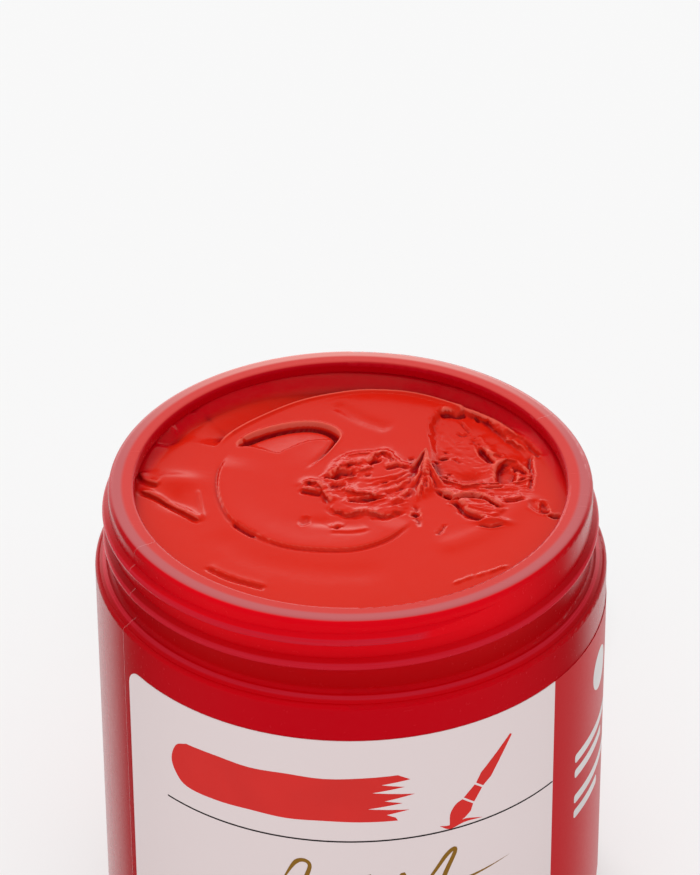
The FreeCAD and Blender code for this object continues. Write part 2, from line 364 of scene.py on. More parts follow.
def build_band():
    """1 between Low and High, and 0 outside, with edges Soft wide."""
    tree, value, out = new_group("Band", {"Value": 0.0, "Low": 0.0, "High": 1.0, "Soft": 0.1}, ("Mask",))
    sides = []
    for edge, way in (("Low", 1.0), ("High", -1.0)):
        past = times(tree, math_node(tree, "SUBTRACT", value["Value"], value[edge]), way)
        share = math_node(tree, "ADD", math_node(tree, "DIVIDE", past, value["Soft"]), 0.5)
        sides.append(spread(tree, share, 0.0, 1.0))
    feed(tree, times(tree, *sides), out["Mask"])


build_band()
print("group:", bpy.data.node_groups[-1].name)

# %% Group: the skin of a moulded or printed plastic


def build_plastic_skin():
    """Fine grain, slow ripples, and a mask of thin scuffs, for roughness and bump."""
    tree, value, out = new_group("Plastic skin", {"Grain Scale": 900.0, "Ripple Scale": 60.0},
                                 ("Grain", "Ripple", "Scuffs"))
    point = object_point(tree)
    stretch = add_node(tree, "ShaderNodeMapping")
    feed(tree, point, stretch.inputs["Vector"])
    stretch.inputs["Rotation"].default_value = (0.4, 0.7, 0.2)
    stretch.inputs["Scale"].default_value = (1.0, 26.0, 9.0)
    streaks = noise_node(tree, stretch.outputs[0], 90.0, 5.0, 0.6)
    feed(tree, noise_node(tree, point, value["Grain Scale"], 3.0), out["Grain"])
    feed(tree, noise_node(tree, point, value["Ripple Scale"], 1.0), out["Ripple"])
    feed(tree, spread(tree, streaks, 0.62, 0.76), out["Scuffs"])


build_plastic_skin()
print("group:", bpy.data.node_groups[-1].name)

# %% [markdown]
# ## The jar's plastic
# The jar is blown from milky polypropylene, and the red is the paint seen through it. So the wall is crimson
# where paint lies behind it. The inner half of the rim is a lighter orange, as only the flange covers the
# paint there, and its outer edge has nothing behind it and is a dusty pink. Clear plastic over the paint
# would give all that, but light through two walls renders slowly and with grain. So each zone has its own
# colour, chosen by radius, depth below the rim, and angle. Light and shade are painted into some of them too:
# painted shade down the neck, round the sides and on the mouth's inner wall, a painted lighter tone on the
# shoulder that faces up, a painted sheen on the back of the rim, and a painted highlight along with the wear
# on the thread's crests.

# %% Jar plastic
NECK_HIGH = (0.82, 0.000, 0.006)
NECK_PAINTED_SHADE = (0.48, 0.000, 0.001)
SHOULDER_PAINTED_LIGHT = (0.66, 0.000, 0.004)
BODY = (0.60, 0.000, 0.006)
BODY_DARKER = (0.50, 0.000, 0.005)
PAINTED_SIDE_SHADE = (0.34, 0.000, 0.003)
CREST_WEAR_AND_HIGHLIGHT = (0.64, 0.016, 0.034)
RIM_OUTER = (0.54, 0.125, 0.130)
RIM_BACK_PAINTED_SHEEN = (0.80, 0.30, 0.27)
RIM_INNER = (0.66, 0.060, 0.052)
MOUTH_WALL_PAINTED_SHADE = (0.52, 0.000, 0.006)
RED_GLOSS = (1.0, 0.15, 0.22)
SEAM_ANGLES = (-60.7, 119.3)


def facing_up(tree):
    """1 where the surface is level, falling to 0 where it leans by about 45 degrees."""
    normal = add_node(tree, "ShaderNodeNewGeometry").outputs["Normal"]
    return spread(tree, split(tree, normal)["Z"], 0.72, 0.97)


def neck_and_body(tree, at, skin):
    """Crimson with painted shade that deepens down the neck, painted lighter on the shoulder that faces up,
    and painted shade round the sides.
    """
    depth = math_node(tree, "SUBTRACT", RIM_Z, at["Height"])
    # painted shade: the neck wall darkens with depth below the rim, shaded by the rim and thread
    neck = mix_colours(tree, spread(tree, depth, 3.5, 12.5), NECK_HIGH, NECK_PAINTED_SHADE)
    # painted light: the shoulder, which faces up, is painted lighter than the shaded neck above it and the
    # body below
    on_shoulder = spread(tree, depth, SHOULDER_DEPTH - 3.8, SHOULDER_DEPTH - 2.2)
    on_body = spread(tree, depth, SHOULDER_DEPTH - 1.6, SHOULDER_DEPTH - 0.2)
    body = mix_colours(tree, times(tree, skin["Ripple"], 0.5), BODY, BODY_DARKER)
    wall = mix_colours(tree, on_body, mix_colours(tree, on_shoulder, neck, SHOULDER_PAINTED_LIGHT), body)
    # painted shade: the wall is painted darker round the sides
    aside = spread(tree, math_node(tree, "ABSOLUTE", at["Angle"]), 30.0, 75.0, 0.0, 0.75)
    return mix_colours(tree, aside, wall, PAINTED_SIDE_SHADE)


def band(tree, value, low, high, soft):
    return place(tree, "Band", Value=value, Low=low, High=high, Soft=soft)["Mask"]


def crest_wear_and_highlight(tree, at):
    """The thread's crest made pale in streaks that run round the neck: partly wear rubbed by lids, partly a
    painted highlight.
    """
    crest = band(tree, at["Radius"], THREAD_R - 0.3, THREAD_R + 0.3, 0.3)
    round_it = add_node(tree, "ShaderNodeCombineXYZ")
    feed(tree, times(tree, at["Angle"], 0.02), round_it.inputs[0])
    feed(tree, times(tree, at["Height"], 3.0), round_it.inputs[1])
    streaks = noise_node(tree, round_it.outputs[0], 3.0, 4.0, 0.6)
    return times(tree, crest, spread(tree, streaks, 0.25, 0.65, 0.35, 1.0))


def jar_plastic():
    material, tree, shader = new_material("jar_plastic")
    at = place(tree, "Round the jar")
    skin = place(tree, "Plastic skin")
    near_top = spread(tree, at["Height"], RIM_Z - 1.75, RIM_Z - 0.85)
    on_land = times(tree, near_top, facing_up(tree))
    inner = spread(tree, at["Radius"], RIM_SPLIT_R + 0.4, RIM_SPLIT_R - 0.4)
    # painted sheen: the rim's outer land is painted much paler towards the back
    behind = spread(tree, math_node(tree, "ABSOLUTE", at["Angle"]), 95.0, 165.0)
    rim = mix_colours(tree, inner, mix_colours(tree, behind, RIM_OUTER, RIM_BACK_PAINTED_SHEEN), RIM_INNER)
    # the thread's crests: rubbed wear together with a painted highlight
    wall = mix_colours(tree, crest_wear_and_highlight(tree, at), neck_and_body(tree, at, skin), CREST_WEAR_AND_HIGHLIGHT)
    # painted shade: the mouth's inner wall, under the flange, is painted darker
    wall = mix_colours(tree, spread(tree, at["Radius"], MOUTH_R + 1.0, MOUTH_R + 0.5), wall, MOUTH_WALL_PAINTED_SHADE)
    seams = [(band(tree, at["Angle"], angle - 0.1, angle + 0.1, 0.3), 1.0) for angle in SEAM_ANGLES]
    height = add_up(tree, 0.0, *seams, (skin["Grain"], 0.10))
    set_inputs(tree, shader, Base_Color=mix_colours(tree, on_land, wall, rim),
               Roughness=add_up(tree, 0.20, (skin["Grain"], 0.10), (skin["Scuffs"], 0.14)),
               Normal=bump(tree, height, 0.35, 0.0002),
               Specular_IOR_Level=0.38, Specular_Tint=RED_GLOSS)
    return material


def finish(node, material):
    """Gives a CAD piece one material all over."""
    mesh = nodes[node].data
    mesh.materials.clear()
    mesh.materials.append(material)
    for face in mesh.polygons:
        face.material_index = 0


finish("jar_shell", jar_plastic())
print("finished: jar_shell")

# %% [markdown]
# ## The label
# One printed film goes most of the way round. Its front panel is white and the rest is red. The film is the
# CAD piece, and its two grounds are a mask by angle. What is printed on it is plain and generic: a dry brush
# stroke of the paint's own colour, a brush standing on a thin rule, a gold flourish, and bars where the small
# print would be. An image could hold all that, but it blurs up close. So each ink is its own very thin mesh,
# cut to shape flat and then wrapped, and its edges stay crisp at any distance.

# %% Label film
PANEL_LEFT = -70.0
PANEL_RIGHT = 50.8
FILM_WHITE = (0.86, 0.735, 0.735)
FILM_WHITE_DARKER = (0.82, 0.69, 0.69)
FILM_RED = (0.62, 0.012, 0.018)


def label_film():
    material, tree, shader = new_material("label_film")
    at = place(tree, "Round the jar")
    skin = place(tree, "Plastic skin", Grain_Scale=1400.0, Ripple_Scale=35.0)
    panel = band(tree, at["Angle"], PANEL_LEFT, PANEL_RIGHT, 0.06)
    white = mix_colours(tree, times(tree, skin["Ripple"], 0.3), FILM_WHITE, FILM_WHITE_DARKER)
    set_inputs(tree, shader, Base_Color=mix_colours(tree, panel, FILM_RED, white),
               Roughness=add_up(tree, 0.34, (skin["Grain"], 0.1), (skin["Scuffs"], 0.1)),
               Normal=bump(tree, add_up(tree, skin["Ripple"], (skin["Grain"], 0.05)), 0.15, 0.0003),
               Specular_IOR_Level=0.4)
    return material


finish("wrap_label", label_film())
print("finished: wrap_label")

# %% Flat outlines for the print, as points (along, up) in millimetres


def rounded_bar(left, right, low, high, radius):
    """A bar with round corners."""
    points = []
    for cx, cy, start in ((right, high, 0), (left, high, 90), (left, low, 180), (right, low, 270)):
        inward_x = radius if cx == left else -radius
        inward_y = radius if cy == low else -radius
        for step in range(6):
            turn = math.radians(start + 18 * step)
            points.append((cx + inward_x + radius * math.cos(turn), cy + inward_y + radius * math.sin(turn)))
    return points


def disc(x, y, radius, sides=40):
    turns = [2 * math.pi * k / sides for k in range(sides)]
    return [(x + radius * math.cos(t), y + radius * math.sin(t)) for t in turns]


def smooth_line(points, steps=8):
    """A Catmull-Rom curve through the points."""
    line = [np.array(p, float) for p in points]
    line = [2 * line[0] - line[1]] + line + [2 * line[-1] - line[-2]]
    out = []
    for a, b, c, d in zip(line, line[1:], line[2:], line[3:]):
        for k in range(steps):
            t = k / steps
            out.append(0.5 * (2 * b + (c - a) * t + (2 * a - 5 * b + 4 * c - d) * t * t
                              + (3 * b - a - 3 * c + d) * t ** 3))
    return np.array(out + [line[-2]])


def pen_stroke(points, widths):
    """A line of changing width, with pointed ends where a width is 0."""
    line = smooth_line(points)
    along = np.linspace(0, len(widths) - 1, len(line))
    half = np.interp(along, range(len(widths)), widths) / 2
    step = np.gradient(line, axis=0)
    side = np.stack([-step[:, 1], step[:, 0]], 1) / np.linalg.norm(step, axis=1)[:, None]
    left, right = line + side * half[:, None], line - side * half[:, None]
    return [tuple(p) for p in left] + [tuple(p) for p in right[::-1]]


def turned(points, x, y, degrees):
    """Outline points turned about their own origin and moved to (x, y)."""
    c, s = math.cos(math.radians(degrees)), math.sin(math.radians(degrees))
    return [(x + c * px - s * py, y + s * px + c * py) for px, py in points]


print("outline tools ready")

# %% Print: one mesh for each ink
INK_THICKNESS = 0.015
INK_CUT = 1.5


def wrap(point, lift):
    """A flat label point (along, up) to its place on the film, lifted off it by that many millimetres."""
    turn = point[0] / LABEL_R
    radius = LABEL_R + lift
    return Vector((radius * math.sin(turn), -radius * math.cos(turn), point[1])) * MM


def ink_mesh(name, outlines, material):
    """Cuts the outlines from a thin sheet of ink and wraps it round the label."""
    bm = bmesh.new()
    for outline in outlines:
        clean = [p for p, q in zip(outline, outline[1:] + outline[:1]) if math.dist(p, q) > 1e-4]
        bm.faces.new([bm.verts.new((x, y, 0)) for x, y in clean])
    bmesh.ops.triangulate(bm, faces=bm.faces[:], ngon_method="EAR_CLIP")
    reach = [v.co.x for v in bm.verts]
    for cut in np.arange(min(reach) + INK_CUT / 2, max(reach), INK_CUT):
        everything = bm.verts[:] + bm.edges[:] + bm.faces[:]
        bmesh.ops.bisect_plane(bm, geom=everything, plane_co=(cut, 0, 0), plane_no=(1, 0, 0))
    bmesh.ops.recalc_face_normals(bm, faces=bm.faces)
    for face in bm.faces:
        if face.normal.z < 0:
            face.normal_flip()
    top = bm.faces[:]
    new = bmesh.ops.extrude_face_region(bm, geom=top)["geom"]
    raised = {v for v in new if isinstance(v, bmesh.types.BMVert)}
    for vert in bm.verts:
        vert.co = wrap((vert.co.x, vert.co.y), INK_THICKNESS if vert in raised else 0.0)
    for face in top:
        if face.is_valid:
            face.normal_flip()
    bmesh.ops.recalc_face_normals(bm, faces=bm.faces)
    mesh = bpy.data.meshes.new(name)
    bm.to_mesh(mesh)
    bm.free()
    mesh.materials.append(material)
    piece = new_object(name, mesh)
    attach(piece, "jar")
    return piece


def ink(name, colour, variation=0.12):
    material, tree, shader = new_material(name)
    skin = place(tree, "Plastic skin", Grain_Scale=1100.0, Ripple_Scale=120.0)
    darker = tuple(c * (1 - variation) for c in colour)
    set_inputs(tree, shader, Base_Color=mix_colours(tree, skin["Ripple"], colour, darker),
               Roughness=add_up(tree, 0.32, (skin["Grain"], 0.15)), Specular_IOR_Level=0.3)
    return material


def brush_stroke(left, right, low, high):
    """A loaded brush mark: round where it starts on the left, and split into dry tails on the right."""
    height = high - low
    wobble = [0.0, 0.25, -0.1, 0.2, -0.15, 0.1, 0.3]
    top = [(left + (right - left) * k / 6, high + wobble[k] * 0.9) for k in range(7)]
    tails = [(2.2, 0.10), (-3.0, 0.17), (1.2, 0.26), (-4.6, 0.34), (3.0, 0.45), (-2.4, 0.55), (0.8, 0.63),
             (-5.4, 0.71), (2.0, 0.80), (-2.0, 0.87), (-0.4, 0.95)]
    ends = [(right + dx, high - height * share) for dx, share in tails]
    bottom = [(left + (right - left) * k / 6, low - wobble[k] * 0.7) for k in range(6, -1, -1)]
    nose = [(left - dx, low + height * share) for dx, share in ((2.6, 0.2), (3.6, 0.5), (2.4, 0.85))]
    body = [tuple(p) for p in smooth_line(top, 5)]
    under = [tuple(p) for p in smooth_line(bottom + nose + [top[0]], 5)][:-1]
    return body + ends + under


def brush_picture(x, y, tilt):
    """A round brush: tuft, ferrule and handle, each with a thin gap from the next."""
    tuft = [tuple(p) for p in smooth_line([(0, 0), (-1.6, 2.2), (-1.9, 4.2), (-1.35, 5.6)], 6)]
    tuft += [(1.35, 5.6)] + [tuple(p) for p in smooth_line([(1.9, 4.2), (1.5, 2.2), (0, 0)], 6)][:-1]
    ferrule = [(-1.3, 6.0), (1.3, 6.0), (0.95, 9.0), (-0.95, 9.0)]
    handle = [(-0.9, 9.4), (0.9, 9.4)]
    handle += [tuple(p) for p in smooth_line([(1.3, 11.5), (0.75, 15.5), (0.25, 20.0)], 6)]
    handle += [(-0.25, 20.0)] + [tuple(p) for p in smooth_line([(-0.75, 15.5), (-1.3, 11.5)], 6)]
    return [turned(part, x, y, tilt) for part in (tuft, ferrule, handle)]


PANEL_EDGE = math.radians(PANEL_RIGHT) * LABEL_R
RULE_UP = 46.6
red_marks = [brush_stroke(-31.5, 8.0, 51.0, 60.5)] + brush_picture(17.5, 47.4, -38)
red_marks.append(pen_stroke([(15.6, 47.9), (17.6, 47.2), (20.5, 47.8), (24.0, 47.2)], [0.0, 0.9, 0.7, 0.0]))
red_marks.append(rounded_bar(-35.0, -12.0, 14.5, 17.5, 0.8))
black_marks = [rounded_bar(-36.4, PANEL_EDGE - 0.1, RULE_UP - 0.16, RULE_UP + 0.16, 0.15)]
black_marks += [rounded_bar(-35.0, -35.0 + w, z, z + 1.1, 0.5) for w, z in ((30.0, 24.5), (22.0, 21.5))]
black_marks.append(rounded_bar(20.0, 34.0, 14.8, 17.2, 0.7))
FLOURISH = [(-13.0, 36.0), (-10.0, 41.5), (-7.6, 41.0), (-8.8, 35.4), (-5.0, 35.0), (-2.6, 38.6),
            (-3.0, 34.6), (0.6, 35.4), (3.0, 38.8), (2.6, 34.8), (6.4, 35.6), (9.0, 38.6), (8.6, 34.6),
            (12.6, 35.4), (17.0, 41.2), (18.6, 41.6), (16.4, 35.4), (20.0, 34.6), (30.0, 36.2)]
FLOURISH_WIDTHS = [0.1, 0.9, 0.7, 1.0, 0.5, 0.9, 0.9, 0.5, 0.9, 0.9, 0.5, 0.9, 0.9, 0.5, 0.9, 0.8, 1.0, 0.7,
                   0.0]
gold_marks = [pen_stroke(FLOURISH, FLOURISH_WIDTHS)]
SIDE_LEFT = PANEL_EDGE + 7.5
SMALL_PRINT_LEFT = SIDE_LEFT + 40
DISCS_LEFT = SIDE_LEFT + 104
white_marks = [rounded_bar(SIDE_LEFT, SIDE_LEFT + w, z, z + 1.9, 0.6)
               for w, z in ((19.0, 45.6), (15.0, 42.2), (21.0, 36.4), (12.0, 33.0))]
for widths, top in (((44, 41, 45, 38, 43, 27), 56), ((42, 45, 39, 22), 34)):
    white_marks += [rounded_bar(SMALL_PRINT_LEFT, SMALL_PRINT_LEFT + w, z, z + 1.0, 0.45)
                    for w, z in zip(widths, range(top, 0, -3))]
white_marks += [disc(SIDE_LEFT + 12, 59.0, 4.2), disc(DISCS_LEFT, 50.0, 6.0), disc(DISCS_LEFT, 32.0, 6.0)]
for piece_name, outlines, colour in (
    ("print_red", red_marks, (0.80, 0.022, 0.017)),
    ("print_black", black_marks, (0.017, 0.009, 0.009)),
    ("print_gold", gold_marks, (0.31, 0.145, 0.008)),
    ("print_white", white_marks, (0.80, 0.75, 0.745)),
):
    piece = ink_mesh(piece_name, outlines, ink(piece_name + "_ink", colour))
    print(piece.name, len(piece.data.polygons), "faces")

# %% [markdown]
# ## The paint
# Thick acrylic keeps every mark made in it: a palette knife has drawn broad swirls round the mouth, scooped a
# crescent, and torn ragged patches where it was pulled away, with one stiff peak standing. A fluid simulation
# would give one random mess, and voxel sculpting can't be repeated, so the surface is a fine round grid whose
# height is worked out stroke by stroke. Each stroke is a smooth path with a cross-section: a ridge, a step
# down into a scoop, a crack with burrs, or a torn fold, which also pushes the grid sideways so that its crest
# leans over. Hollows and mounds are ovals. Noise shifts the torn strokes, so that no edge of theirs is clean.

# %% A round grid of points
GRID_CELLS = 300
PAINT_NECK_R = NECK_BORE_R - 0.08


def round_grid(cells, radius):
    """Concentric squares pressed into circles, so the cells stay even and the edge is a true circle."""
    line = np.linspace(-1.0, 1.0, cells + 1)
    u, v = np.meshgrid(line, line, indexing="ij")
    reach = np.maximum(np.abs(u), np.abs(v))
    wide = np.abs(u) >= np.abs(v)
    safe_u, safe_v = np.where(u == 0, 1.0, u), np.where(v == 0, 1.0, v)
    turn = np.where(wide, (math.pi / 4) * v / safe_u, (math.pi / 2) - (math.pi / 4) * u / safe_v)
    signed = np.where(wide, u, v) * radius
    return np.where(reach == 0, 0.0, signed * np.cos(turn)), np.where(reach == 0, 0.0, signed * np.sin(turn))


X, Y = round_grid(GRID_CELLS, PAINT_NECK_R)
FROM_AXIS = np.hypot(X, Y)
print("grid cell about", round(2 * PAINT_NECK_R / GRID_CELLS, 2), "mm")

# %% Measuring from a stroke
RAGGED_SIZE = 1.5


def ragged_shift(seed):
    """A noise value for each grid point, for shifting strokes so that their edges tear."""
    spots = np.stack([X, Y], -1).reshape(-1, 2) / RAGGED_SIZE
    values = [noise.fractal(Vector((a, b, seed)), 0.8, 2.2, 3) for a, b in spots]
    return np.array(values).reshape(X.shape)


TEAR_X, TEAR_Y = ragged_shift(2.5), ragged_shift(31.0)


def beside(points, ragged=0.0):
    """How far each grid point is to the left (+) or right (-) of a smooth path, and how far along it, 0 to 1.

    ragged, in millimetres, is how far the path's edges tear this way and that.
    """
    line = smooth_line(points, 10)
    at_x, at_y = X + ragged * TEAR_X, Y + ragged * TEAR_Y
    best = np.full(X.shape, 1e9)
    side = np.zeros(X.shape)
    along = np.zeros(X.shape)
    lengths = np.linalg.norm(np.diff(line, axis=0), axis=1)
    travelled = np.concatenate([[0], np.cumsum(lengths)])
    for k, (a, b) in enumerate(zip(line, line[1:])):
        step = b - a
        px, py = at_x - a[0], at_y - a[1]
        t = np.clip((px * step[0] + py * step[1]) / (lengths[k] ** 2), 0, 1)
        dx, dy = px - t * step[0], py - t * step[1]
        distance = np.hypot(dx, dy)
        nearer = distance < best
        best = np.where(nearer, distance, best)
        side = np.where(nearer, np.sign(step[0] * dy - step[1] * dx), side)
        along = np.where(nearer, (travelled[k] + t * lengths[k]) / travelled[-1], along)
    return best * np.where(side == 0, 1, side), along


def fade_ends(along, start=0.15, end=0.15):
    """1 along the stroke, falling smoothly to 0 at its ends."""
    rise = np.clip(along / max(start, 1e-6), 0, 1)
    fall = np.clip((1 - along) / max(end, 1e-6), 0, 1)
    return rise * rise * (3 - 2 * rise) * fall * fall * (3 - 2 * fall)


def hump(distance, width):
    return np.exp(-((distance / width) ** 2))


def smooth(value, low, high):
    t = np.clip((value - low) / (high - low), 0, 1)
    return t * t * (3 - 2 * t)


def inside(points, soft):
    """1 inside a closed smooth outline, falling to 0 over the given width outside it."""
    line = smooth_line(list(points) + [points[0]], 6)
    within = np.zeros(X.shape, bool)
    nearest = np.full(X.shape, 1e9)
    for a, b in zip(line, line[1:]):
        crosses = (a[1] > Y) != (b[1] > Y)
        at = (b[0] - a[0]) * (Y - a[1]) / ((b[1] - a[1]) if b[1] != a[1] else 1e-9) + a[0]
        within ^= crosses & (X < at)
        step = b - a
        t = np.clip(((X - a[0]) * step[0] + (Y - a[1]) * step[1]) / max(step @ step, 1e-9), 0, 1)
        nearest = np.minimum(nearest, np.hypot(X - a[0] - t * step[0], Y - a[1] - t * step[1]))
    signed = np.where(within, nearest, -nearest)
    return smooth(signed, -soft / 2, soft / 2)


print("stroke tools ready")

# %% Kinds of stroke
TEAR_RELIEF = 0.75
HEIGHT = np.zeros(X.shape)
SHIFT_X = np.zeros(X.shape)
SHIFT_Y = np.zeros(X.shape)


def ridge(points, height, width, start=0.15, end=0.15, ragged=0.0):
    """A round-backed ridge, or a groove if height is negative."""
    distance, along = beside(points, ragged)
    HEIGHT[:] += height * hump(distance, width) * fade_ends(along, start, end)


def step_down(points, drop, run, edge=0.35, start=0.2, end=0.2):
    """The surface drops to the right of the path, sharply, and comes back up over run."""
    distance, along = beside(points)
    depth = smooth(-distance, 0.0, edge) * hump(np.maximum(-distance - edge, 0), run)
    HEIGHT[:] -= drop * depth * fade_ends(along, start, end)


def fold(points, rise, drop, ragged=0.3):
    """A torn fold: a thin crest that falls away gently to its left and steeply into a hollow on its right."""
    distance, along = beside(points, ragged)
    ends = fade_ends(along, 0.12, 0.12)
    crest = np.where(distance > 0, np.exp(-np.abs(distance) / 0.8), np.exp(-np.abs(distance) / 0.28))
    HEIGHT[:] += TEAR_RELIEF * (rise * crest - drop * hump(distance + 0.8, 0.5)) * ends
    way = np.subtract(points[-1], points[0]) / math.dist(points[0], points[-1])
    SHIFT_X[:] += 0.6 * rise * way[1] * ends * hump(distance, 0.3)
    SHIFT_Y[:] -= 0.6 * rise * way[0] * ends * hump(distance, 0.3)


def crack(points, depth, width):
    """A thin groove with a low burr on each side."""
    distance, along = beside(points, 0.3)
    ends = fade_ends(along, 0.2, 0.2)
    burrs = 0.35 * hump(np.abs(distance) - 1.8 * width, 0.5 * width)
    HEIGHT[:] += TEAR_RELIEF * depth * ends * (burrs - hump(distance, width))


def oval(x, y, wide, deep, turn):
    """How many times its own size each grid point is from the middle of an oval."""
    c, s = math.cos(math.radians(turn)), math.sin(math.radians(turn))
    along, across = (X - x) * c + (Y - y) * s, -(X - x) * s + (Y - y) * c
    return np.hypot(along / wide, across / deep)


def dent(x, y, wide, deep, turn, height):
    """An oval mound, or a hollow if height is negative."""
    HEIGHT[:] += height * np.exp(-oval(x, y, wide, deep, turn) ** 2)


def pocket(x, y, wide, deep, turn, depth):
    """A steep-sided hollow with a ragged outline and a thin rim."""
    reach = oval(x, y, wide, deep, turn) + 0.25 * TEAR_X
    HEIGHT[:] -= TEAR_RELIEF * depth * smooth(reach, 1.25, 0.75)
    HEIGHT[:] += 0.15 * min(depth, 1.0) * hump(reach - 1.35, 0.15)


def torn(mask, height, size, stretch, turn, seed):
    """Ragged, stringy relief inside a mask, drawn out along one direction."""
    c, s = math.cos(math.radians(turn)), math.sin(math.radians(turn))
    for i, j in np.argwhere(mask > 0.01):
        along = (X[i, j] * c + Y[i, j] * s) / (size * stretch)
        across = (-X[i, j] * s + Y[i, j] * c) / size
        spot = Vector((along + 0.35 * TEAR_X[i, j], across + 0.35 * TEAR_Y[i, j], seed))
        ragged = noise.ridged_multi_fractal(spot, 0.8, 2.2, 4, 0.95, 2.2) - 1.2
        HEIGHT[i, j] += mask[i, j] * height * ragged


print("stroke kinds ready")

# %% The broad knife marks
FRONT_LEVEL = -2.9
BACK_LEVEL = -4.2

HEIGHT[:] = FRONT_LEVEL + (BACK_LEVEL - FRONT_LEVEL) * smooth(Y, -36, 36)
HEIGHT[:] += 0.5 * np.exp((FROM_AXIS - PAINT_NECK_R) / 1.2)
TOWARDS_BACK = smooth(Y / np.maximum(FROM_AXIS, 1.0), 0.1, 0.8)
HEIGHT[:] += 2.3 * TOWARDS_BACK * smooth(FROM_AXIS, 36.4, 39.4)
OUTER_SWIRL = [(-24.3, 16.1), (-22.4, 20.5), (-17.1, 26.1), (-9.0, 32.0), (-0.3, 35.0), (6.0, 35.4),
               (12.3, 34.2), (18.5, 31.0), (25.0, 26.5), (30.0, 20.5), (33.5, 14.0)]
distance, along = beside(OUTER_SWIRL)
ends = fade_ends(along, 0.08, 0.25)
HEIGHT -= 1.5 * ends * smooth(distance, 0.0, 0.8) * hump(np.maximum(distance - 0.8, 0), 3.2)
HEIGHT += 0.45 * ends * hump(distance + 0.2, 0.4)
SCOOP = [(-20.8, 16.6), (-20.2, 18.4), (-17.8, 21.1), (-12.8, 23.8), (-7.8, 24.8), (-4.0, 23.6), (-1.8, 20.6),
         (-2.8, 17.0), (-4.9, 12.8), (-8.3, 8.0)]
step_down(SCOOP, 1.1, 7.5, 0.7, 0.12, 0.5)
step_down(SCOOP, 1.3, 0.6, 0.6, 0.06, 0.4)
ridge(SCOOP, 0.2, 0.4, 0.1, 0.3)
DISC_EDGE = [(-22.0, 14.6), (-23.6, 8.0), (-23.7, 1.8), (-22.4, -4.5), (-20.3, -8.9), (-16.5, -12.9),
             (-11.5, -16.1), (-5.3, -17.4), (0.7, -17.2), (6.0, -14.5), (9.8, -10.1), (11.3, -7.6)]
distance, along = beside(DISC_EDGE)
ends = fade_ends(along, 0.1, 0.1)
HEIGHT += 0.45 * ends * smooth(distance, -0.15, 0.15) * hump(np.maximum(distance - 0.15, 0), 5.0)
HEIGHT -= 0.14 * ends * hump(distance + 0.4, 0.3)
ridge([(-20.9, -8.6), (-18.6, -11.2), (-16.5, -13.2)], -0.5, 0.5)
ridge([(-3.4, 31.5), (2.2, 26.0), (7.9, 22.2)], -0.3, 1.6)
print("broad marks: height from", round(HEIGHT.min(), 2), "to", round(HEIGHT.max(), 2), "mm")

# %% The folds on the left
fold([(-38.0, 2.4), (-34.0, 0.0), (-29.6, -4.4), (-26.0, -8.2)], 0.9, 0.5, 0.1)
fold([(-37.8, 8.0), (-36.6, 5.4), (-34.0, 4.0)], 0.7, 0.5, 0.1)
ridge([(-27.4, 2.6), (-26.6, -3.0), (-26.0, -7.6)], 0.3, 0.3)
dent(-30.9, 5.2, 4.2, 2.6, -10, 0.55)
dent(-31.5, -1.5, 3.5, 2.4, -40, -0.5)
ridge([(-35.9, 27.5), (-34.6, 23.0), (-31.4, 19.4)], 0.7, 0.8)
dent(-33.2, 18.2, 2.6, 1.0, 35, -0.9)
ridge([(-29.0, 25.0), (-28.2, 28.4), (-24.0, 33.0)], -0.5, 0.9)
print("left folds done")

# %% The torn lump in the middle
LUMP = [(-8.7, 2.4), (-4.6, 6.0), (-3.3, 10.0), (-0.7, 13.2), (5.0, 14.2), (8.3, 11.4), (10.7, 9.0),
        (10.7, 2.0), (9.8, -3.6), (5.0, -6.6), (0.0, -6.0), (-3.1, -3.4), (-5.9, 1.0)]
lump = inside(LUMP, 2.4)
HEIGHT += 0.5 * lump
torn(lump * smooth(X, 1.0, 5.0) * smooth(Y, 7.0, 4.0), 0.22, 0.9, 5.0, 24, 3.7)
torn(lump * smooth(X, 4.0, -2.0) * smooth(Y, -4.0, 1.0), 0.34, 1.5, 2.0, 10, 8.1)
fold([(-8.7, 2.4), (-7.4, 4.8), (-4.9, 2.2), (-3.9, -0.8), (-3.1, -2.9)], 0.9, 0.5, 0.35)
fold([(-8.5, 2.6), (-7.0, 1.9), (-5.0, 1.2)], 0.6, 0.7, 0.3)
fold([(-4.1, 5.6), (-1.8, 9.4), (0.6, 10.4), (2.4, 10.0)], 0.7, 0.3, 0.5)
fold([(-0.7, 4.9), (0.7, 6.3), (1.7, 7.9), (4.3, 8.8)], 0.6, 0.2, 0.5)
fold([(2.8, 9.6), (4.2, 12.9), (5.7, 14.4), (7.0, 13.8), (8.0, 12.0), (8.5, 10.4)], 0.9, 0.5, 0.4)
fold([(-0.9, 12.8), (1.8, 13.5), (3.9, 13.2)], 0.6, 0.0, 0.3)
fold([(5.9, 8.9), (8.3, 10.0), (10.7, 9.4)], 0.5, 0.7, 0.3)
fold([(-1.8, 1.8), (0.7, 0.6), (2.6, 0.1), (4.8, -0.2), (6.5, -0.4)], 0.9, 0.3, 0.5)
fold([(-4.0, -2.9), (-2.3, -5.0), (0.2, -6.0), (2.6, -5.6), (4.9, -6.4), (6.5, -6.4), (9.6, -4.4)],
     0.55, 0.35, 0.5)
pocket(-1.5, 6.6, 2.7, 1.3, 16, 1.3)
pocket(4.3, 10.7, 1.5, 0.7, 20, 0.7)
pocket(2.3, -1.9, 2.9, 0.9, 8, 1.0)
pocket(-2.4, 2.6, 1.4, 0.8, 20, 0.8)
